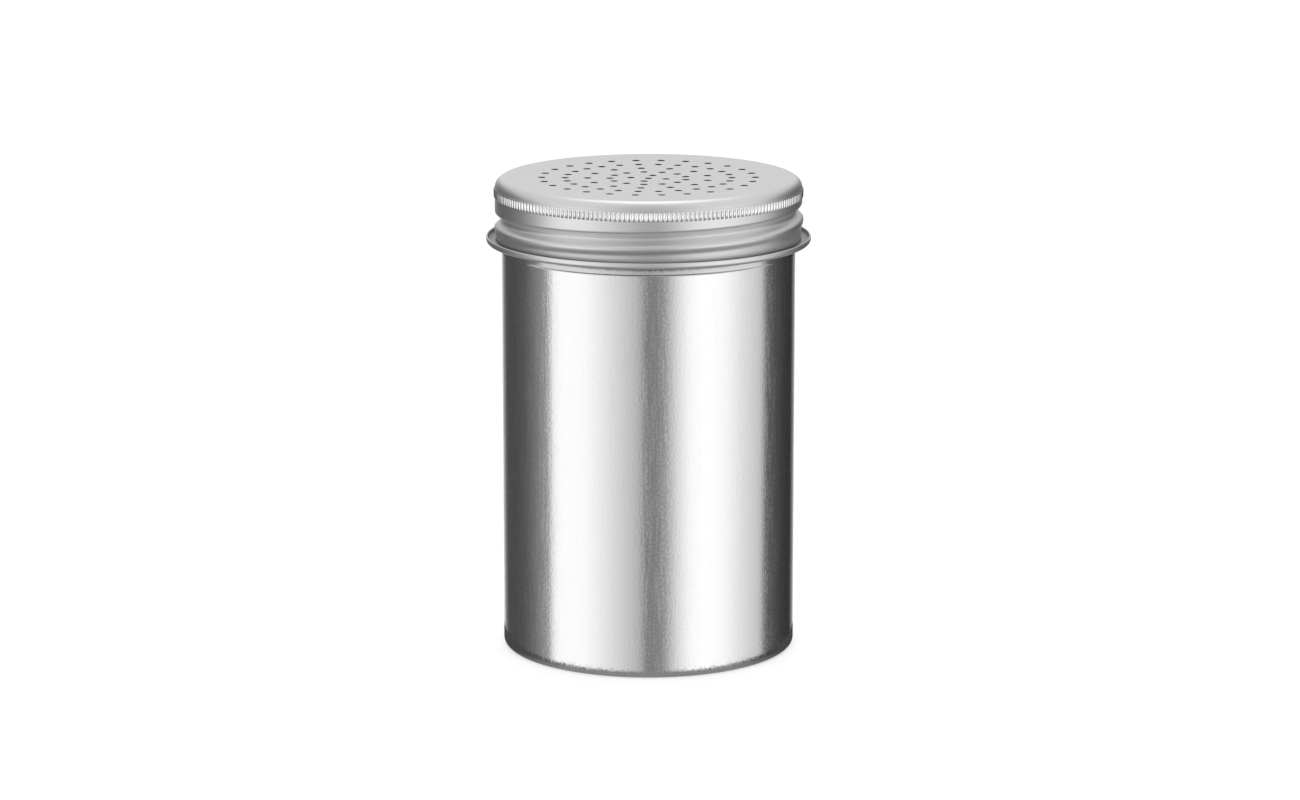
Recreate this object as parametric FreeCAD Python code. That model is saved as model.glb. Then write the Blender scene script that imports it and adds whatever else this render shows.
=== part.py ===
import FreeCAD, Part
import math
import os

# Shaker tin: a seamless drawn can with a thread rolled into its neck, and a screw lid drawn from
# one sheet, with a sieve of round holes punched in its top. Millimetres, +Z up, origin at the
# middle of the base. -Y is the front, where the height of each thread is given.

# Can
can_r = 34.25             # outside of the straight wall
can_h = 109.85            # base to rim
can_wall = 0.5
base_corner_r = 1.4       # outside
neck_drop = 15.75         # rim down to the top of the straight wall
neck_slope_h = 3.4
neck_set_in = 0.9         # how far the neck lies inside the straight wall
rim_bead_r = 0.8          # the rim is rolled inwards to a round bead

# Lid
lid_sheet = 0.4
lid_h = 15.1
lid_corner_r = 2.4        # outside
lid_dish = 0.4            # how far the middle of the top lies below its edge
lip_reach = 2.1           # how far the lip stands out from the skirt
lip_h = 1.5               # the lip's turned-up edge, from its underside
lip_round = 0.7           # outside of the bends into the lip and up its edge
knurl_drop = 2.5          # top of the lid down to the knurled band
knurl_h = 2.1
knurl_ribs = 208
knurl_proud = 0.25
knurl_root = 0.04         # the band between two ribs still stands this far out

# Sieve
hole_r = 0.9
sieve_margin = 6.95       # from the can's mouth in to the outermost ring of holes
ring_step = 180 / 13      # degrees between neighbours on the two outer rings
sieve_rings = (           # share of the outermost ring's radius, holes, angle of the first hole
    (0.17, 4, 90 - ring_step),
    (0.36, 13, ring_step),
    (0.57, 13, ring_step),
    (0.78, 26, 0),
    (1.00, 26, 0),
)

# Sealing ring
seal_t = 0.8
seal_overlap = 0.45       # how far the ring reaches past the rim bead on each side
seal_gap = 0.1            # above and below the ring

# Screw thread, right-handed
pitch = 4.233
thread_gap = 0.3          # between the can's ridge and the lid's groove
groove_depth = 1.65
groove_round = 1.3        # radius of the groove's section, on the outside of the lid
groove_drop = 8.65        # top of the lid down to the groove, at the front
groove_turns = (-0.62, 0.5)   # where the groove starts and ends, from the front
ridge_out = 0.35          # centre of the ridge's section, outside the neck
ridge_turns = (-0.55, 0.95)
fade_turns = 0.16         # over which each end of a thread dies away
fade_spare = 0.3

# Sizes that follow
neck_r = can_r - neck_set_in
neck_z = can_h - neck_drop
mouth_r = neck_r - 2 * rim_bead_r
seal_in_r = mouth_r - seal_overlap
seal_out_r = neck_r + seal_overlap
groove_floor_r = neck_r + thread_gap + lid_sheet
lid_r = groove_floor_r + groove_depth
lip_r = lid_r + lip_reach
panel_r = lid_r - lid_corner_r
panel_sag = lid_dish * (1 - (seal_in_r / panel_r) ** 2)
lid_under_z = can_h + 2 * seal_gap + seal_t
lid_z = lid_under_z + panel_sag + lid_sheet
front_angle = -math.pi / 2
path_steps_per_turn = 24


def at(r, z):
    return FreeCAD.Vector(r, 0, z)


def line(a, b):
    return Part.LineSegment(a, b).toShape()


def corner_arc(centre_r, centre_z, radius, start, end):
    """An arc in the section plane, between two angles in degrees."""
    points = []
    for angle in (start, (start + end) / 2, end):
        a = math.radians(angle)
        points.append(at(centre_r + radius * math.cos(a), centre_z + radius * math.sin(a)))
    return Part.Arc(*points).toShape()


def revolve(edges):
    face = Part.Face(Part.Wire(edges))
    return face.revolve(FreeCAD.Vector(0, 0, 0), FreeCAD.Vector(0, 0, 1), 360)


def thread_path(radius, front_z, turns, fade_out):
    """A right-hand helix, at front_z on the front, whose ends slide out by fade_out."""
    start, end = turns
    steps = round((end - start) * path_steps_per_turn)
    points = []
    for i in range(steps + 1):
        turn = start + (end - start) * i / steps
        from_end = min(turn - start, end - turn) / fade_turns
        fade = (1 + math.cos(math.pi * from_end)) / 2 if from_end < 1 else 0
        r = radius + fade * fade_out
        angle = front_angle + 2 * math.pi * turn
        x, y = r * math.cos(angle), r * math.sin(angle)
        points.append(FreeCAD.Vector(x, y, front_z + pitch * turn))
    curve = Part.BSplineCurve()
    curve.interpolate(points)
    return curve


def thread_rope(curve, section_r):
    """A round bar that follows a thread's path."""
    start = curve.value(curve.FirstParameter)
    along = curve.tangent(curve.FirstParameter)[0]
    section = Part.Wire(Part.Circle(start, along, section_r).toShape())
    sweep = Part.BRepOffsetAPI.MakePipeShell(Part.Wire(curve.toShape()))
    sweep.setBiNormalMode(FreeCAD.Vector(0, 0, 1))
    sweep.add(section)
    sweep.build()
    sweep.makeSolid()
    return sweep.shape()


def groove_path():
    centre_r = groove_floor_r + groove_round
    fade_out = groove_depth + fade_spare
    return thread_path(centre_r, lid_z - groove_drop, groove_turns, fade_out)


def ridge_section_r():
    """The ridge is as full as it can be with thread_gap to the groove's inner face."""
    across = groove_floor_r + groove_round - (neck_r + ridge_out)
    between_centres = math.hypot(across, pitch / 2)
    return between_centres - (groove_round + lid_sheet) - thread_gap


def can_outside():
    bead_z = can_h - rim_bead_r
    return revolve([
        line(at(0, 0), at(can_r - base_corner_r, 0)),
        corner_arc(can_r - base_corner_r, base_corner_r, base_corner_r, -90, 0),
        line(at(can_r, base_corner_r), at(can_r, neck_z)),
        line(at(can_r, neck_z), at(neck_r, neck_z + neck_slope_h)),
        line(at(neck_r, neck_z + neck_slope_h), at(neck_r, bead_z)),
        corner_arc(neck_r - rim_bead_r, bead_z, rim_bead_r, 0, 90),
        line(at(neck_r - rim_bead_r, can_h), at(0, can_h)),
        line(at(0, can_h), at(0, 0)),
    ])


def can_inside():
    """The hollow, with the rim bead left standing into it."""
    inner_corner_r = base_corner_r - can_wall
    body_in_r = can_r - can_wall
    neck_in_r = neck_r - can_wall
    bead_mid_r = neck_r - rim_bead_r
    bead_z = can_h - rim_bead_r
    under_angle = -math.degrees(math.acos((rim_bead_r - can_wall) / rim_bead_r))
    under_z = bead_z + rim_bead_r * math.sin(math.radians(under_angle))
    return revolve([
        line(at(0, can_wall), at(can_r - base_corner_r, can_wall)),
        corner_arc(can_r - base_corner_r, base_corner_r, inner_corner_r, -90, 0),
        line(at(body_in_r, base_corner_r), at(body_in_r, neck_z)),
        line(at(body_in_r, neck_z), at(neck_in_r, neck_z + neck_slope_h)),
        line(at(neck_in_r, neck_z + neck_slope_h), at(neck_in_r, under_z)),
        corner_arc(bead_mid_r, bead_z, rim_bead_r, under_angle, -270),
        line(at(bead_mid_r, can_h), at(bead_mid_r, can_h + can_wall)),
        line(at(bead_mid_r, can_h + can_wall), at(0, can_h + can_wall)),
        line(at(0, can_h + can_wall), at(0, can_wall)),
    ])


def can_body():
    section_r = ridge_section_r()
    front_z = lid_z - groove_drop - pitch / 2
    fade_in = -(ridge_out + section_r + fade_spare)
    path = thread_path(neck_r + ridge_out, front_z, ridge_turns, fade_in)
    return can_outside().fuse(thread_rope(path, section_r)).cut(can_inside())


def lid_form(sheet):
    """The lid's outside, or its inside when sheet is the sheet's thickness, down to the lip."""
    middle_z = lid_z - sheet - lid_dish
    wall_r = lid_r - sheet
    corner_z = lid_z - lid_corner_r
    low_z = lip_bend_z() - sheet
    dish_r = (panel_r ** 2 + lid_dish ** 2) / (2 * lid_dish)
    dish_angle = math.degrees(math.asin(panel_r / dish_r))
    return revolve([
        corner_arc(0, middle_z + dish_r, dish_r, -90, -90 + dish_angle),
        corner_arc(panel_r, corner_z, lid_corner_r - sheet, 90, 0),
        line(at(wall_r, corner_z), at(wall_r, low_z)),
        line(at(wall_r, low_z), at(0, low_z)),
        line(at(0, low_z), at(0, middle_z)),
    ])


def lip_bend_z():
    """Where the skirt starts to bend outwards."""
    return lid_z - lid_h + lip_round


def lid_lip():
    """The foot of the skirt turned out flat, with its edge turned up again."""
    low_z = lid_z - lid_h
    floor_z = low_z + lid_sheet
    edge_z = low_z + lip_h
    bend_z = lip_bend_z()
    inner_round = lip_round - lid_sheet
    skirt_in_r = lid_r - lid_sheet
    edge_in_r = lip_r - lid_sheet
    foot_r = skirt_in_r + lip_round
    brim_r = lip_r - lip_round
    return revolve([
        line(at(skirt_in_r, edge_z), at(skirt_in_r, bend_z)),
        corner_arc(foot_r, bend_z, lip_round, 180, 270),
        line(at(foot_r, low_z), at(brim_r, low_z)),
        corner_arc(brim_r, bend_z, lip_round, -90, 0),
        line(at(lip_r, bend_z), at(lip_r, edge_z)),
        line(at(lip_r, edge_z), at(edge_in_r, edge_z)),
        line(at(edge_in_r, edge_z), at(edge_in_r, bend_z)),
        corner_arc(brim_r, bend_z, inner_round, 0, -90),
        line(at(brim_r, floor_z), at(foot_r, floor_z)),
        corner_arc(foot_r, bend_z, inner_round, 270, 180),
        line(at(lid_r, bend_z), at(lid_r, edge_z)),
        line(at(lid_r, edge_z), at(skirt_in_r, edge_z)),
    ])


def knurled_band():
    low_z = lid_z - knurl_drop - knurl_h
    corners = []
    for i in range(2 * knurl_ribs):
        r = lid_r + (knurl_proud if i % 2 else knurl_root)
        angle = math.pi * i / knurl_ribs
        corners.append(FreeCAD.Vector(r * math.cos(angle), r * math.sin(angle), low_z))
    outline = Part.makePolygon(corners + corners[:1])
    band = Part.Face(outline).extrude(FreeCAD.Vector(0, 0, knurl_h))
    core = Part.makeCylinder(lid_r - lid_sheet / 2, knurl_h, FreeCAD.Vector(0, 0, low_z))
    return band.cut(core)


def sieve_holes():
    outer_r = mouth_r - sieve_margin
    centres = [FreeCAD.Vector(0, 0, 0)]
    for share, count, first in sieve_rings:
        for i in range(count):
            angle = math.radians(first + 360 * i / count)
            r = share * outer_r
            centres.append(FreeCAD.Vector(r * math.cos(angle), r * math.sin(angle), 0))
    low = FreeCAD.Vector(0, 0, lid_z - 2 * (lid_dish + lid_sheet))
    depth = 2 * (lid_dish + lid_sheet) + lid_sheet
    return Part.makeCompound([Part.makeCylinder(hole_r, depth, c + low) for c in centres])


def screw_lid():
    path = groove_path()
    outside = lid_form(0).cut(thread_rope(path, groove_round))
    inside = lid_form(lid_sheet).cut(thread_rope(path, groove_round + lid_sheet))
    shell = outside.cut(inside)
    trim = Part.makeCylinder(lip_r, lip_reach, FreeCAD.Vector(0, 0, lip_bend_z() - lip_reach))
    shell = shell.cut(trim)
    return shell.fuse(lid_lip()).fuse(knurled_band()).cut(sieve_holes())


def sealing_ring():
    low_z = can_h + seal_gap
    ring = Part.makeCylinder(seal_out_r, seal_t, FreeCAD.Vector(0, 0, low_z))
    return ring.cut(Part.makeCylinder(seal_in_r, seal_t, FreeCAD.Vector(0, 0, low_z)))


def export(name, shape):
    solids = [solid for solid in shape.removeSplitter().Solids if solid.Volume > 1e-6]
    print(name, "solids", len(solids), "valid", all(s.isValid() for s in solids),
          "volume", round(sum(s.Volume for s in solids), 1))
    Part.makeCompound(solids).exportStep(f"parts/{name}.step")


os.makedirs("parts", exist_ok=True)
export("can_body", can_body())
export("sealing_ring", sealing_ring())
export("screw_lid", screw_lid())
print("height", round(lid_z, 2), "across the lip", round(2 * lip_r, 2))
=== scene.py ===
import math

import bpy
import numpy as np
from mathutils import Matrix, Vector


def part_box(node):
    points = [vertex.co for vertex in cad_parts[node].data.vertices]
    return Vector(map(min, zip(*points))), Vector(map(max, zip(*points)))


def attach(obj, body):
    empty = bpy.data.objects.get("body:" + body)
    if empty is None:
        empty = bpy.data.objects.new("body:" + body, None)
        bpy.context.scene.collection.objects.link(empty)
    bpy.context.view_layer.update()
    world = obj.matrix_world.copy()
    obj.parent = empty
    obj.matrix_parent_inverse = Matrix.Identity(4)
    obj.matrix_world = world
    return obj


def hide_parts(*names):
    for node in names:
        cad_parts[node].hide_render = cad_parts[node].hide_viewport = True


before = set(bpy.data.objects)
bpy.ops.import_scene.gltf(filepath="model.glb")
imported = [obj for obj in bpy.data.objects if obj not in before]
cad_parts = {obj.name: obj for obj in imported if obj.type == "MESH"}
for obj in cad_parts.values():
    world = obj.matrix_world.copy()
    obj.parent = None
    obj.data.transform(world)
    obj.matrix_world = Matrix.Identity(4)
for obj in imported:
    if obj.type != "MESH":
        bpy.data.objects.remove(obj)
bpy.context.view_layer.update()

MM = 0.001

# ------------------------------------------------------------------------------------- can
# The can is drawn from one disc of bright aluminium, so it has no seam. Its wall is straight,
# its base is pressed in a little, its neck is set in for the lid and carries a rolled thread,
# and its rim is curled inwards to a round bead.

can_r = 34.25 * MM
can_wall = 0.5 * MM
can_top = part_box("can_body")[1].z
base_corner_r = 1.4 * MM
base_press = 0.45 * MM
base_ring_r = 29.5 * MM
neck_z = 94.1 * MM
neck_slope_h = 3.4 * MM
neck_r = 33.35 * MM
neck_fold_in = 0.12 * MM
neck_fold_h = 0.14 * MM
fold_row = 0.15 * MM                 # a narrow row of faces beside a bend keeps it crisp
rim_bead_r = 0.8 * MM
pitch = 4.233 * MM
ridge_height = 1.05 * MM
ridge_half_w = 1.35 * MM
ridge_front_z = 100.53 * MM
ridge_turns = (-0.55, 0.95)
ridge_fade = 0.2                     # turns over which each end of the thread runs out
columns = 312


def arc(centre_r, centre_z, radius, start, end, count):
    """Points of a circle in the section plane, between two angles in degrees, as (r, z) rows."""
    a = np.radians(np.linspace(start, end, count))
    return np.stack([centre_r + radius * np.cos(a), centre_z + radius * np.sin(a)], axis=1)


def straight(start, end, count):
    """Evenly spaced points from one (r, z) to another, without the first."""
    share = np.linspace(0, 1, count + 1)[1:, None]
    return np.array(start) * (1 - share) + np.array(end) * share


def ease(x):
    """A smooth step: half a cosine wave from 0 at x = 0 up to 1 at x = 1, flat outside."""
    return (1 - np.cos(np.pi * np.clip(x, 0, 1))) / 2


def thread(turn, z, front_z, turns, half_w, fade):
    """How fully a right-hand thread stands at each place, from 0 to 1: half a cosine wave across
    the thread, centred at front_z + pitch * turn, times a smooth fade at both of its ends."""
    full = np.zeros(np.broadcast(turn, z).shape)
    for lap in (-2, -1, 0, 1, 2):
        t = turn + lap
        across = (1 + np.cos(np.pi * np.clip((z - front_z - pitch * t) / half_w, -1, 1))) / 2
        along = ease((t - turns[0]) / fade) * ease((turns[1] - t) / fade)
        full = np.maximum(full, across * along)
    return full


def ring_turns(count):
    """Where each column stands round the axis, in turns from the front (-Y), going right."""
    return (np.arange(count) / count + 0.5) % 1 - 0.5


def rings_from(section, count, push=None):
    """Each (r, z) row of a section carried round the axis, as rings of (x, y, z) points. push
    gives a further radius for each column and row."""
    turn = ring_turns(count)[None, :]
    r = np.repeat(section[:, :1], count, axis=1)
    z = np.repeat(section[:, 1:], count, axis=1)
    if push is not None:
        r = r + push(turn, z)
    angle = 2 * np.pi * (turn - 0.25)
    return list(np.stack([r * np.cos(angle), r * np.sin(angle), z], axis=2))


def bridge(rings, first=0):
    """Faces between rings that follow each other. Equal rings are joined by quads, and where the
    next ring has twice or half as many points each step is three triangles. Left of the way in
    which the rings advance is the outside."""
    quads, tris = [], []
    start = first
    for a, b in zip(rings, rings[1:]):
        na, nb = len(a), len(b)
        i = np.arange(min(na, nb))
        if na == nb:
            j = (i + 1) % na
            quads.append(np.stack([start + i, start + j, start + na + j, start + na + i], axis=1))
        elif nb == 2 * na:
            j, low, mid = (i + 1) % na, 2 * i, 2 * i + 1
            high, b0 = (2 * i + 2) % nb, start + na
            tris.append(np.stack([start + i, b0 + mid, b0 + low], axis=1))
            tris.append(np.stack([start + i, start + j, b0 + mid], axis=1))
            tris.append(np.stack([start + j, b0 + high, b0 + mid], axis=1))
        else:
            j, low, mid = (i + 1) % nb, 2 * i, 2 * i + 1
            high, b0 = (2 * i + 2) % na, start + na
            tris.append(np.stack([start + low, start + mid, b0 + i], axis=1))
            tris.append(np.stack([start + mid, b0 + j, b0 + i], axis=1))
            tris.append(np.stack([start + mid, start + high, b0 + j], axis=1))
        start += na
    return quads, tris


def make_piece(name, points, quads, tris):
    """A smooth mesh object from whole arrays of points and faces."""
    mesh = bpy.data.meshes.new(name)
    corners = np.concatenate([f.ravel() for f in quads + tris])
    sizes = np.concatenate([np.full(len(f), f.shape[1]) for f in quads + tris])
    mesh.vertices.add(len(points))
    mesh.vertices.foreach_set("co", np.asarray(points, np.float32).ravel())
    mesh.loops.add(len(corners))
    mesh.loops.foreach_set("vertex_index", corners.astype(np.int32))
    mesh.polygons.add(len(sizes))
    mesh.polygons.foreach_set("loop_start", (np.cumsum(sizes) - sizes).astype(np.int32))
    mesh.polygons.foreach_set("loop_total", sizes.astype(np.int32))
    mesh.polygons.foreach_set("use_smooth", np.ones(len(sizes), bool))
    mesh.update(calc_edges=True)
    mesh.validate()
    piece = bpy.data.objects.new(name, mesh)
    bpy.context.scene.collection.objects.link(piece)
    return piece


def turned_shell(name, section, push=None):
    """A closed shell round the axis, from a section that starts and ends on it. Each end is a fan
    of triangles round one point."""
    rings = rings_from(section[1:-1], columns, push)
    points = np.concatenate(rings + [[[0, 0, section[0, 1]]], [[0, 0, section[-1, 1]]]])
    quads, tris = bridge(rings)
    i = np.arange(columns)
    j = (i + 1) % columns
    last = (len(rings) - 1) * columns
    pole = len(rings) * columns
    tris.append(np.stack([j, i, np.full(columns, pole)], axis=1))
    tris.append(np.stack([last + i, last + j, np.full(columns, pole + 1)], axis=1))
    return make_piece(name, points, quads, tris)


def can_section():
    """The can's section from the middle of its base up the outside, over the rim bead and down
    the inside to the middle of its floor."""
    inner_r = can_r - can_wall
    neck_in_r = neck_r - can_wall
    bead_r, bead_z = neck_r - rim_bead_r, can_top - rim_bead_r
    under = -math.degrees(math.acos((rim_bead_r - can_wall) / rim_bead_r))
    cone_low = (can_r - neck_fold_in, neck_z + neck_fold_h)
    cone_top = (neck_r, neck_z + neck_slope_h)
    shoulder = np.concatenate([[cone_low], straight(cone_low, cone_top, 10)])
    inner_shoulder = shoulder[::-1] - np.array([[can_wall, 0]])
    step = np.linspace(0, 1, 7)[:, None]
    press = np.array([[base_ring_r - 3 * MM, base_press]]) * (1 - step)
    press = press + np.array([[base_ring_r, 0]]) * step
    press[:, 1] = base_press * (1 - ease(step[:, 0]))
    return np.concatenate([
        [[0, base_press]],
        straight((0, base_press), press[0], 5)[:-1],
        press,
        arc(can_r - base_corner_r, base_corner_r, base_corner_r, -90, 0, 12),
        straight((can_r, base_corner_r), (can_r, base_corner_r + fold_row), 1),
        straight((can_r, base_corner_r + fold_row), (can_r, neck_z - fold_row), 16),
        [[can_r, neck_z]],
        shoulder,
        straight((neck_r, neck_z + neck_slope_h), (neck_r, bead_z), 56),
        arc(bead_r, bead_z, rim_bead_r, 0, 360 + under, 18)[1:],
        straight((neck_in_r, bead_z - rim_bead_r), (neck_in_r, neck_z + neck_slope_h), 40),
        inner_shoulder[1:],
        straight((inner_r, neck_z), (inner_r, base_corner_r), 8),
        arc(can_r - base_corner_r, base_corner_r, base_corner_r - can_wall, 0, -90, 8)[1:],
        press[::-1] + np.array([[0, can_wall]]),
        straight(press[0] + np.array([0, can_wall]), (0, base_press + can_wall), 4),
    ])


def can_thread(turn, z):
    """The rolled thread as a change of radius: one ridge that stands out of the neck."""
    return ridge_height * thread(turn, z, ridge_front_z, ridge_turns, ridge_half_w, ridge_fade)


can = turned_shell("can", can_section(), can_thread)


def node_at(tree, kind, x, y, **settings):
    """A shader node at a place in the tree, with its inputs or properties set by name."""
    node = tree.nodes.new(kind)
    node.location = (x, y)
    for key, value in settings.items():
        name = key.replace("_", " ")
        if name in node.inputs:
            node.inputs[name].default_value = value
        else:
            setattr(node, key, value)
    return node


def maths(tree, operation, x, y, *values):
    """A Math node, with each input a number or a socket."""
    node = node_at(tree, "ShaderNodeMath", x, y, operation=operation)
    for slot, value in zip(node.inputs, values):
        if isinstance(value, (int, float)):
            slot.default_value = value
        else:
            tree.links.new(value, slot)
    return node.outputs["Value"]


def bright_can_metal():
    """Bright drawn aluminium: fine upright grain from the drawing die, and a faint orange peel. The
    same two patterns make small places a little duller and greyer than their surroundings."""
    material = bpy.data.materials.new("can_metal")
    material.use_nodes = True
    tree = material.node_tree
    link = tree.links.new
    shader = tree.nodes["Principled BSDF"]
    shader.inputs["Metallic"].default_value = 1.0
    place = node_at(tree, "ShaderNodeTexCoord", -1300, 0)
    upright = node_at(tree, "ShaderNodeMapping", -1100, 200, Scale=(1, 1, 0.05))
    link(place.outputs["Object"], upright.inputs["Vector"])
    grain = node_at(tree, "ShaderNodeTexNoise", -900, 200, Scale=2000, Detail=3)
    link(upright.outputs["Vector"], grain.inputs["Vector"])
    peel = node_at(tree, "ShaderNodeTexNoise", -900, -100, Scale=1900, Detail=2)
    link(place.outputs["Object"], peel.inputs["Vector"])
    both = maths(tree, "ADD", -650, 700, grain.outputs["Fac"], peel.outputs["Fac"])
    tone = node_at(tree, "ShaderNodeMapRange", -450, 700)
    tone.inputs["From Min"].default_value = 0.80
    tone.inputs["From Max"].default_value = 1.20
    tone.inputs["To Min"].default_value = 0.77
    tone.inputs["To Max"].default_value = 0.83
    link(both, tone.inputs["Value"])
    grey = node_at(tree, "ShaderNodeCombineColor", -250, 700)
    for slot in grey.inputs:
        link(tone.outputs["Result"], slot)
    link(grey.outputs["Color"], shader.inputs["Base Color"])
    rough = node_at(tree, "ShaderNodeMapRange", -450, 400)
    rough.inputs["From Min"].default_value = 0.85
    rough.inputs["From Max"].default_value = 1.20
    rough.inputs["To Min"].default_value = 0.06
    rough.inputs["To Max"].default_value = 0.25
    link(both, rough.inputs["Value"])
    link(rough.outputs["Result"], shader.inputs["Roughness"])
    grain_bump = node_at(tree, "ShaderNodeBump", -500, -100, Strength=0.6, Distance=0.00001)
    link(grain.outputs["Fac"], grain_bump.inputs["Height"])
    peel_bump = node_at(tree, "ShaderNodeBump", -300, -100, Strength=1.0, Distance=0.000017)
    link(peel.outputs["Fac"], peel_bump.inputs["Height"])
    link(grain_bump.outputs["Normal"], peel_bump.inputs["Normal"])
    link(peel_bump.outputs["Normal"], shader.inputs["Normal"])
    return material


can.data.materials.append(bright_can_metal())
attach(can, "can")
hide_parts("can_body")

# ---------------------------------------------------------------------------- sealing ring
# A flat ring of pale rubber lies between the can's rim and the lid, and keeps powder out of
# the thread. Its edges are slightly rounded where it was punched out.

seal_low, seal_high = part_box("sealing_ring")
seal_in_r, seal_out_r = 31.3 * MM, seal_high.x
seal_edge_r = 0.2 * MM


def seal_section():
    """A flat oblong with rounded corners, as one closed loop of (r, z) points."""
    low, high = seal_low.z + seal_edge_r, seal_high.z - seal_edge_r
    inner, outer = seal_in_r + seal_edge_r, seal_out_r - seal_edge_r
    return np.concatenate([
        arc(outer, low, seal_edge_r, -90, 0, 4),
        arc(outer, high, seal_edge_r, 0, 90, 4),
        arc(inner, high, seal_edge_r, 90, 180, 4),
        arc(inner, low, seal_edge_r, 180, 270, 4),
        [[outer, seal_low.z]],
    ])


def closed_ring(name, section):
    """A ring round the axis from a section whose last point is its first."""
    rings = rings_from(section, columns)
    quads, tris = bridge(rings)
    last = (len(rings) - 1) * columns
    quads = [np.where(q >= last, q - last, q) for q in quads]
    return make_piece(name, np.concatenate(rings[:-1]), quads, tris)


def pale_rubber():
    """Matt off-white rubber with a fine moulded grain."""
    material = bpy.data.materials.new("ring_rubber")
    material.use_nodes = True
    tree = material.node_tree
    shader = tree.nodes["Principled BSDF"]
    shader.inputs["Base Color"].default_value = (0.72, 0.71, 0.68, 1)
    shader.inputs["Roughness"].default_value = 0.7
    place = node_at(tree, "ShaderNodeTexCoord", -900, 0)
    grain = node_at(tree, "ShaderNodeTexNoise", -700, 0, Scale=1500, Detail=3)
    tree.links.new(place.outputs["Object"], grain.inputs["Vector"])
    bump = node_at(tree, "ShaderNodeBump", -400, 0, Strength=0.4, Distance=0.00005)
    tree.links.new(grain.outputs["Fac"], bump.inputs["Height"])
    tree.links.new(bump.outputs["Normal"], shader.inputs["Normal"])
    return material


seal = closed_ring("sealing_ring_soft", seal_section())
seal.data.materials.append(pale_rubber())
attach(seal, "lid_carrier")
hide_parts("sealing_ring")

# --------------------------------------------------------------------------------- screw lid
# The lid is pressed from one satin aluminium sheet: a slightly dished top punched with 83 round
# holes, a rounded shoulder, a knurled band, a rolled thread and a lip turned outwards and up.

lid_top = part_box("screw_lid")[1].z
lid_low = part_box("screw_lid")[0].z
lip_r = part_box("screw_lid")[1].x
lid_sheet = 0.4 * MM
lid_r = 35.75 * MM
skirt_r = 35.5 * MM
lid_corner_r = 2.4 * MM
lid_dish = 0.4 * MM
knurl_top = lid_top - 2.42 * MM
knurl_low = lid_top - 4.52 * MM
knurl_proud = 0.25 * MM
knurl_sunk = 0.08 * MM
knurl_power = 2.2
knurl_edge = 0.30 * MM
knurl_ribs = 208
groove_depth = 1.6 * MM
groove_half_w = 1.95 * MM
groove_front_z = lid_top - 8.65 * MM
lip_h = 1.5 * MM
lip_round = 0.7 * MM
lip_edge_h = 0.25 * MM               # height of the lip's top edge, kept out of the painted shade in the lip's hollow
groove_turns = (-0.62, 0.56)
groove_fade = 0.16
bulge = 0.3 * MM
bulge_half_w = pitch / 2.6
hole_r = 0.9 * MM
hole_edge_r = 0.05 * MM
sieve_r = 24.8 * MM
sieve_rings = (           # share of the outermost ring's radius, holes, columns to the first one
    (0.17, 4, 66),
    (0.36, 13, 12),
    (0.57, 13, 12),
    (0.78, 26, 0),
    (1.00, 26, 0),
)
panel_r = lid_r - lid_corner_r


def lid_thread(turn, z):
    """The rolled thread as a change of radius: a groove pressed in, and a slight bulge of the
    sheet half a pitch below it."""
    groove = thread(turn, z, groove_front_z, groove_turns, groove_half_w, groove_fade)
    ridge_z = groove_front_z - pitch / 2
    ridge = thread(turn, z, ridge_z, groove_turns, bulge_half_w, groove_fade)
    return bulge * ridge - groove_depth * groove


def knurl(turn, z):
    """The knurled band: upright ribs like narrow pillows, one for every 1/208 turn. A rib falls
    from its middle to its root with a power of the distance, and eases away at both of its ends."""
    phase = np.abs((turn * knurl_ribs + 0.5) % 1 - 0.5) * 2
    up = ease((z - knurl_low) / knurl_edge) * ease((knurl_top - z) / knurl_edge)
    return (knurl_proud - (knurl_proud + knurl_sunk) * phase ** knurl_power) * up


def skirt_radius(z):
    """The skirt's plain radius by height: the band's down to the thread, then a little less."""
    return skirt_r + (lid_r - skirt_r) * ease((z - lid_top + 13 * MM) / (3 * MM))


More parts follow.
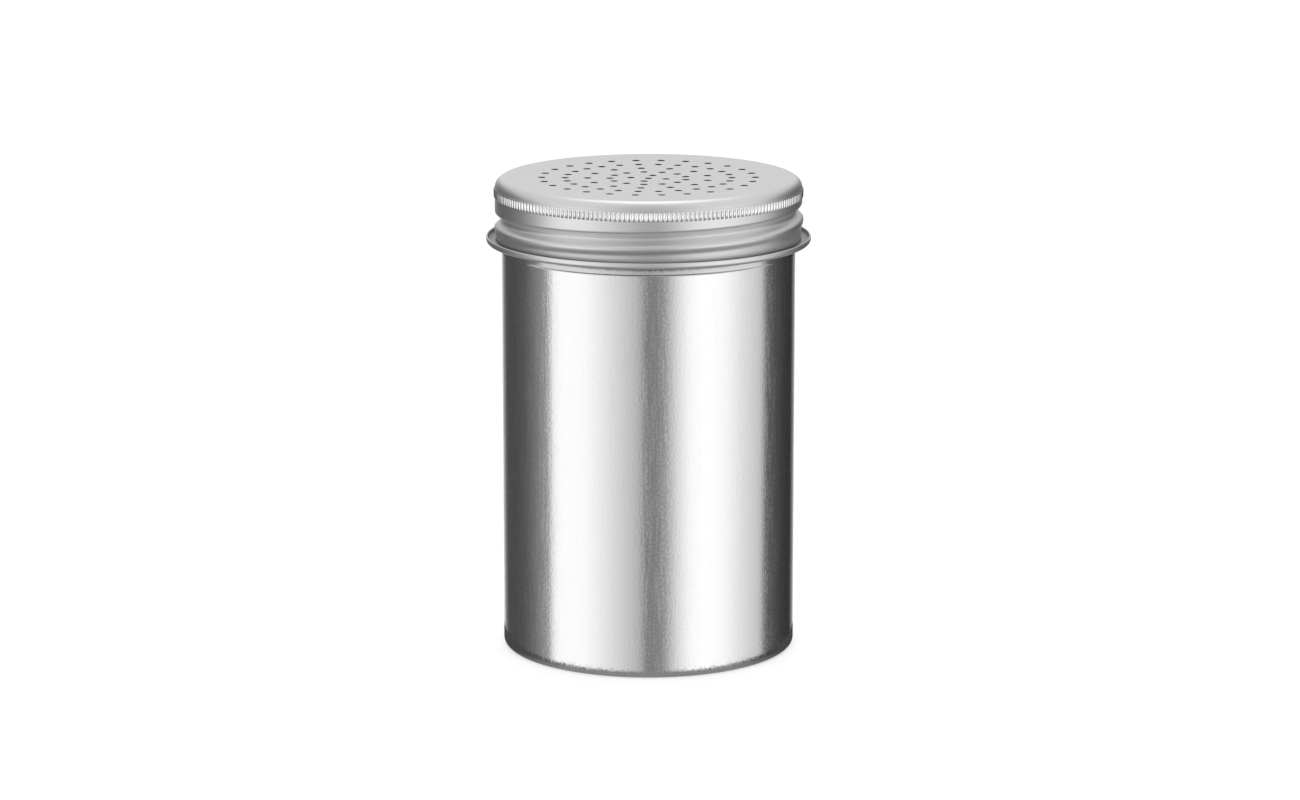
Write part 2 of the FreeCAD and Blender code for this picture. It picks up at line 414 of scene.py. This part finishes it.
def lid_rings():
    """The lid's rings from the sieve's edge down the outside, round the turned-up lip and up the
    inside to the underside of the panel."""
    bend_z = lid_low + lip_round
    inner_round = lip_round - lid_sheet
    skirt_in_r = skirt_r - lid_sheet
    foot_r = skirt_in_r + lip_round
    brim_r = lip_r - lip_round
    corner_z = lid_top - lid_corner_r
    sieve_edge = sieve_edges()[-1]
    flat = np.linspace(sieve_edge, panel_r, 5)[:, None]
    top = np.concatenate([flat, lid_top - dish_depth(flat)], axis=1)
    z_band = np.linspace(knurl_low - 0.1 * MM, bend_z, 44)[:, None]
    z_knurl = np.concatenate([
        np.linspace(knurl_top, knurl_top - knurl_edge, 3),
        np.linspace(knurl_low + knurl_edge, knurl_low, 3),
    ])[:, None]
    outside = rings_from(top, columns)
    outside += rings_from(arc(panel_r, corner_z, lid_corner_r, 90, 0, 14)[1:], columns)
    outside += rings_from(np.array([[lid_r, knurl_top + 0.2 * MM]]), columns)
    outside += rings_from(np.array([[lid_r, knurl_top + 0.1 * MM]]), 2 * columns)
    knurl_section = np.concatenate([0 * z_knurl + lid_r, z_knurl], axis=1)
    outside += rings_from(knurl_section, 4 * columns, knurl)
    outside += rings_from(np.array([[lid_r, knurl_low - 0.05 * MM]]), 2 * columns)
    outside += rings_from(np.concatenate([skirt_radius(z_band), z_band], axis=1), columns, lid_thread)
    edge_r = lid_sheet / 2
    edge_z = lid_low + lip_h - edge_r
    outside += rings_from(np.concatenate([
        arc(foot_r, bend_z, inner_round, 180, 270, 6)[1:],
        arc(brim_r, bend_z, inner_round, 270, 360, 6),
        arc(lip_r - edge_r, edge_z, edge_r, 180, 0, 9),
        arc(brim_r, bend_z, lip_round, 0, -90, 8),
        arc(foot_r, bend_z, lip_round, -90, -180, 8),
    ]), columns)
    z_inner = np.linspace(bend_z, corner_z, 32)[1:, None]
    inner_section = np.concatenate([skirt_radius(z_inner) - lid_sheet, z_inner], axis=1)
    inside = rings_from(inner_section, columns, lid_thread)
    inside += rings_from(arc(panel_r, corner_z, lid_corner_r - lid_sheet, 0, 90, 6)[1:], columns)
    under = np.array([[sieve_edge, lid_top - dish_depth(sieve_edge) - lid_sheet]])
    inside += rings_from(under, columns)
    return outside + inside


def dish_depth(r):
    """How far the panel lies below its edge: a parabola, deepest in the middle."""
    return lid_dish * (1 - (r / panel_r) ** 2)


def sieve_edges():
    """The circles that part one ring of holes from the next, half-way between them."""
    radii = np.array([0] + [share * sieve_r for share, count, first in sieve_rings])
    between = (radii[1:] + radii[:-1]) / 2
    return np.append(between, sieve_r + (radii[-1] - radii[-2]) / 2)


def hole_cells(count, first, hole_ring_r, low_r, high_r):
    """The borders of one ring's cells, with one hole in each: an array of cells, points round a
    cell and (x, y), and the holes' centres. A border runs along the cell's inner arc, out, back
    along its outer arc and in, on the lid's own columns."""
    steps = columns // count
    out = 6
    half = steps // 2
    along = np.arange(-half, steps - half + 1)
    outward = np.linspace(low_r, high_r, out + 1)
    column = np.concatenate([
        along[:-1], np.full(out, along[-1]), along[::-1][:-1], np.full(out, along[0]),
    ])
    r = np.concatenate([
        np.full(steps, low_r), outward[:-1], np.full(steps, high_r), outward[::-1][:-1],
    ])
    cell = np.arange(count)[:, None] * steps + first
    angle = 2 * np.pi * (cell + column[None, :]) / columns
    border = np.stack([r * np.cos(angle), r * np.sin(angle)], axis=2)
    centre_angle = 2 * np.pi * cell / columns
    centre = hole_ring_r * np.stack([np.cos(centre_angle), np.sin(centre_angle)], axis=2)
    return border, centre


def sieve():
    """The perforated panel. Every cell is a sheet between its border and its hole: across the top,
    over the hole's rounded edge, down through the sheet and back along the underside."""
    edges = sieve_edges()
    angle = 2 * np.pi * np.arange(columns)[::-1] / columns
    middle_border = edges[0] * np.stack([np.cos(angle), np.sin(angle)], axis=1)[None]
    cells = [(middle_border, np.zeros((1, 1, 2)))]
    for (share, count, first), low_r, high_r in zip(sieve_rings, edges, edges[1:]):
        cells.append(hole_cells(count, first, share * sieve_r, low_r, high_r))
    rim_r = hole_r + hole_edge_r * (1 - np.cos(np.radians([90, 60, 30, 0])))
    rim_drop = hole_edge_r * (1 - np.sin(np.radians([90, 60, 30, 0])))
    points, quads, start = [], [], 0
    for border, centre in cells:
        away = border - centre
        away = away / np.linalg.norm(away, axis=2, keepdims=True)
        top_rim = centre + away * rim_r[0]
        rows = [border * (1 - s) + top_rim * s for s in (0, 0.35, 0.7)]
        drops = [0, 0, 0]
        rows += [centre + away * r for r in rim_r]
        drops += list(rim_drop)
        rows += [centre + away * hole_r, border]
        drops += [lid_sheet, lid_sheet]
        xy = np.stack(rows, axis=1)
        r = np.linalg.norm(xy, axis=3)
        z = lid_top - dish_depth(r) - np.array(drops)[None, :, None]
        grid = np.concatenate([xy, z[..., None]], axis=3)
        n_cells, n_rows, n_round = grid.shape[:3]
        index = start + np.arange(grid[..., 0].size).reshape(n_cells, n_rows, n_round)
        nxt = np.roll(index, -1, axis=2)
        a, b = index[:, :-1], nxt[:, :-1]
        c, d = nxt[:, 1:], index[:, 1:]
        quads.append(np.stack([a, b, c, d], axis=3).reshape(-1, 4))
        points.append(grid.reshape(-1, 3))
        start += grid[..., 0].size
    return points, quads


def welded(points, quads, tris):
    """Points that lie in the same place become one, and faces that lose a corner are dropped."""
    key = np.round(points / (0.0005 * MM)).astype(np.int64)
    _, keep, back = np.unique(key, axis=0, return_index=True, return_inverse=True)
    back = back.ravel()
    return points[keep], [back[q] for q in quads], [back[t] for t in tris]


def screw_lid():
    """The sieve and the rings as one closed sheet. Both run down the outside, so every face is
    turned over to look outwards."""
    points, quads = sieve()
    rings = lid_rings()
    start = sum(len(p) for p in points)
    ring_quads, ring_tris = bridge(rings, start)
    points = np.concatenate(points + rings)
    points, quads, tris = welded(points, quads + ring_quads, ring_tris)
    return make_piece("lid", points, [q[:, ::-1] for q in quads], [t[:, ::-1] for t in tris])


def satin_lid_metal():
    """Satin aluminium sheet. The knurled band is smoother, and its grey is lighter as a painted
    highlight. The hollow of the turned-up lip, the walls of the holes and the sieve's underside are
    darker as painted shade."""
    material = bpy.data.materials.new("lid_metal")
    material.use_nodes = True
    tree = material.node_tree
    link = tree.links.new
    shader = tree.nodes["Principled BSDF"]
    shader.inputs["Metallic"].default_value = 1.0
    place = node_at(tree, "ShaderNodeTexCoord", -1300, 0)
    parts = node_at(tree, "ShaderNodeSeparateXYZ", -1300, 500)
    link(place.outputs["Object"], parts.inputs["Vector"])
    x, y, z = (parts.outputs[name] for name in "XYZ")
    y_squared = maths(tree, "MULTIPLY", -1300, 700, y, y)
    r_squared = maths(tree, "MULTIPLY_ADD", -1100, 700, x, x, y_squared)
    r = maths(tree, "SQRT", -900, 700, r_squared)
    # Painted shade: below the panel's top, round the sieve, the holes' walls and the panel's
    # underside are darkened by 0.72.
    dish = lid_dish / panel_r ** 2
    panel_z = maths(tree, "MULTIPLY_ADD", -900, 900, r_squared, dish, lid_top - lid_dish)
    depth = maths(tree, "SUBTRACT", -700, 900, panel_z, z)
    under_panel = maths(tree, "GREATER_THAN", -500, 900, depth, 0.4 * hole_edge_r)
    at_sieve = maths(tree, "LESS_THAN", -500, 1100, r, sieve_r + 2 * hole_r)
    painted_hole_shade = maths(tree, "MULTIPLY", -300, 1000, under_panel, at_sieve)
    knurl_mid, knurl_half = (knurl_top + knurl_low) / 2, (knurl_top - knurl_low) / 2
    # Painted highlight: the knurled band's grey is raised by 0.08. Its roughness is also lowered by
    # 0.20.
    knurl_highlight_and_polish = maths(tree, "COMPARE", -900, 500, z, knurl_mid, knurl_half)
    # Painted shade: below the lip's top edge and inside its outer face, the grey is darkened by 0.40.
    low_down = maths(tree, "LESS_THAN", -900, 300, z, lid_low + lip_h - lip_edge_h)
    inward = maths(tree, "LESS_THAN", -700, 300, r, lip_r - lid_sheet)
    painted_trough_shade = maths(tree, "MULTIPLY", -500, 400, low_down, inward)
    # The sheet's grey is 0.80. It is lighter on the knurl as painted highlight, and darker as painted
    # shade in the lip's hollow and round the holes.
    tone = maths(tree, "MULTIPLY_ADD", -500, 600, knurl_highlight_and_polish, 0.08, 0.80)
    tone = maths(tree, "MULTIPLY_ADD", -300, 600, painted_trough_shade, -0.40, tone)
    tone = maths(tree, "MULTIPLY_ADD", -100, 600, painted_hole_shade, -0.72, tone)
    grey = node_at(tree, "ShaderNodeCombineColor", -150, 400)
    for slot in grey.inputs:
        link(tone, slot)
    link(grey.outputs["Color"], shader.inputs["Base Color"])
    grain = node_at(tree, "ShaderNodeTexNoise", -700, 0, Scale=3000, Detail=3)
    link(place.outputs["Object"], grain.inputs["Vector"])
    rough = node_at(tree, "ShaderNodeMapRange", -450, 200)
    rough.inputs["To Min"].default_value = 0.36
    rough.inputs["To Max"].default_value = 0.46
    link(grain.outputs["Fac"], rough.inputs["Value"])
    polish = maths(tree, "MULTIPLY_ADD", -250, 200, knurl_highlight_and_polish, -0.20, rough.outputs["Result"])
    link(polish, shader.inputs["Roughness"])
    bump = node_at(tree, "ShaderNodeBump", -300, -100, Strength=0.3, Distance=0.00002)
    link(grain.outputs["Fac"], bump.inputs["Height"])
    link(bump.outputs["Normal"], shader.inputs["Normal"])
    return material


lid = screw_lid()
lid.data.materials.append(satin_lid_metal())
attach(lid, "lid")
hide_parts("screw_lid")

# ------------------------------------------------------------------------------------ studio
# The tin stands on a plain pale table in a light tent. Two tall soft boxes stand at its sides, black
# flags behind them, a grey flag round the lens and a soft box overhead. Their reflections draw the
# upright bands in the bright metal, so the light is given by the direction that it comes from.

camera_aside = 0.00035
camera_distance = 0.985
camera_height = 0.273
camera_pitch = math.radians(12.303)
brightest = 2.5
wall_light = (            # degrees from the front, going right, and the light from there
    (-180, 1.20), (-170, 1.00), (-160, 0.35), (-150, 0.08), (-128, 0.08), (-114, 0.11),
    (-104, 0.17), (-94, 0.27), (-86, 0.38), (-80, 1.16), (-74, 1.25), (-52, 1.23), (-44, 1.14),
    (-30, 0.92), (-13, 0.66), (-6.5, 0.55), (-2.5, 0.25), (7, 0.26), (13, 0.38), (21, 0.82),
    (32, 1.20), (46, 1.30), (62, 1.20), (80, 0.90), (99, 0.68), (103, 0.38), (106, 0.15),
    (118, 0.09), (132, 0.05), (152, 0.03), (163, 0.35), (172, 0.95),
)
upper_light = (
    (-180, 0.69), (-110, 0.76), (-50, 0.88), (-16, 0.58), (0, 0.42), (16, 0.58), (50, 0.88),
    (110, 0.78), (180, 0.69),
)
flag_rise = 0.75                     # how much higher the flags stand towards the back corners
table_light = 0.28
shade_light = 0.07                   # the table's light beside the tin, where the flags shade it
shade_reach = 6 * MM
top_box_light = 1.9
top_box_tilt = math.radians(25)      # towards the back


def light_round(tree, azimuth, stops, y):
    """The light from every side, by azimuth: a ramp with straight lines between its stops."""
    ramp = node_at(tree, "ShaderNodeValToRGB", -300, y)
    elements = ramp.color_ramp.elements
    elements.remove(elements[1])
    elements[0].position = 0
    for index, (degrees, light) in enumerate(stops):
        element = elements[0] if index == 0 else elements.new(degrees / 360 + 0.5)
        share = light / brightest
        element.color = (share, share, share, 1)
    tree.links.new(azimuth, ramp.inputs["Fac"])
    return ramp.outputs["Color"]


def blended(tree, x, y, value, low, high, first, second):
    """The first light where value is under low, the second over high, and a soft step between."""
    share = node_at(tree, "ShaderNodeMapRange", x, y + 150, interpolation_type="SMOOTHSTEP")
    share.inputs["From Min"].default_value = low
    share.inputs["From Max"].default_value = high
    tree.links.new(value, share.inputs["Value"])
    mix = node_at(tree, "ShaderNodeMix", x + 200, y, data_type="RGBA")
    tree.links.new(share.outputs["Result"], mix.inputs["Factor"])
    for slot, light in ((mix.inputs[6], first), (mix.inputs[7], second)):
        if isinstance(light, float):
            slot.default_value = (light / brightest,) * 3 + (1,)
        else:
            tree.links.new(light, slot)
    return mix.outputs[2]


def light_tent():
    """The world's light by direction: the walls' ring of light, the paler cloth above it, the table
    below and the box overhead, each run softly into the next."""
    world = bpy.data.worlds.new("light_tent")
    world.use_nodes = True
    tree = world.node_tree
    way = node_at(tree, "ShaderNodeTexCoord", -1300, 0)
    parts = node_at(tree, "ShaderNodeSeparateXYZ", -1100, 0)
    tree.links.new(way.outputs["Generated"], parts.inputs["Vector"])
    x, y, z = (parts.outputs[name] for name in "XYZ")
    angle = maths(tree, "ARCTAN2", -700, 200, x, maths(tree, "MULTIPLY", -900, 200, y, -1.0))
    azimuth = maths(tree, "MULTIPLY_ADD", -500, 200, angle, 1 / (2 * math.pi), 0.5)
    walls = light_round(tree, azimuth, wall_light, 300)
    upper = light_round(tree, azimuth, upper_light, 0)
    forward = maths(tree, "MULTIPLY", -900, -300, y, math.sin(top_box_tilt))
    to_box = maths(tree, "MULTIPLY_ADD", -700, -300, z, math.cos(top_box_tilt), forward)
    behind = maths(tree, "MAXIMUM", -900, 500, y, 0.0)
    aside = maths(tree, "ABSOLUTE", -900, 700, x)
    corner = maths(tree, "MULTIPLY", -700, 600, behind, aside)
    over_walls = maths(tree, "MULTIPLY_ADD", -500, 500, corner, -flag_rise, z)
    sides = blended(tree, 0, 200, over_walls, 0.02, 0.15, walls, upper)
    low = blended(tree, 450, 200, z, -0.60, -0.36, table_light, sides)
    light = blended(tree, 900, 200, to_box, 0.94, 0.985, low, top_box_light)
    background = tree.nodes["Background"]
    tree.links.new(light, background.inputs["Color"])
    background.inputs["Strength"].default_value = brightest
    bpy.context.scene.world = world


def table_part(name, points, faces, colour):
    """A matt stage piece."""
    piece = make_piece(name, points, faces, [])
    material = bpy.data.materials.new(name)
    material.use_nodes = True
    shader = material.node_tree.nodes["Principled BSDF"]
    shader.inputs["Base Color"].default_value = (colour, colour, colour, 1)
    shader.inputs["Roughness"].default_value = 0.9
    shader.inputs["Specular IOR Level"].default_value = 0.0
    piece.data.materials.append(material)
    return piece


def pale_floor():
    """A wide flat table top, lit a little from within like a light table. The metal mirrors the
    tent in its place."""
    half = 30.0
    points = half * np.array([[-1, -1, 0], [1, -1, 0], [1, 1, 0], [-1, 1, 0]])
    floor = table_part("floor", points, [np.array([[0, 1, 2, 3]])], 0.75)
    shader = floor.data.materials[0].node_tree.nodes["Principled BSDF"]
    shader.inputs["Emission Color"].default_value = (1, 1, 1, 1)
    shader.inputs["Emission Strength"].default_value = 0.53
    floor.visible_glossy = False


def foot_shade():
    """A flat grey ring round the foot, seen only in the metal: the tin's own shade on the table.
    It is darker at the sides, towards the flags."""
    rings = rings_from(np.array([[can_r + shade_reach, 0.0], [can_r - shade_reach, 0.0]]), columns)
    quads, tris = bridge(rings)
    ring = table_part("foot_shade", np.concatenate(rings), quads, 0.0)
    tree = ring.data.materials[0].node_tree
    place = node_at(tree, "ShaderNodeTexCoord", -900, 0)
    parts = node_at(tree, "ShaderNodeSeparateXYZ", -700, 0)
    tree.links.new(place.outputs["Object"], parts.inputs["Vector"])
    aside = node_at(tree, "ShaderNodeMapRange", -300, 0)
    aside.inputs["From Min"].default_value = 0.6 * can_r
    aside.inputs["From Max"].default_value = can_r
    aside.inputs["To Min"].default_value = table_light
    aside.inputs["To Max"].default_value = shade_light
    tree.links.new(maths(tree, "ABSOLUTE", -500, 0, parts.outputs["X"]), aside.inputs["Value"])
    shader = tree.nodes["Principled BSDF"]
    shader.inputs["Emission Color"].default_value = (1, 1, 1, 1)
    tree.links.new(aside.outputs["Result"], shader.inputs["Emission Strength"])
    ring.visible_camera = False
    ring.visible_diffuse = False
    ring.visible_shadow = False


light_tent()
pale_floor()
foot_shade()

camera = bpy.data.objects.new("camera", bpy.data.cameras.new("camera"))
camera.data.sensor_width = 36.0
camera.data.lens = 118.9
camera.location = (camera_aside, -camera_distance, camera_height)
camera.rotation_euler = (math.pi / 2 - camera_pitch, 0, 0)
bpy.context.scene.collection.objects.link(camera)
bpy.context.scene.camera = camera
bpy.context.scene.view_settings.view_transform = "Standard"
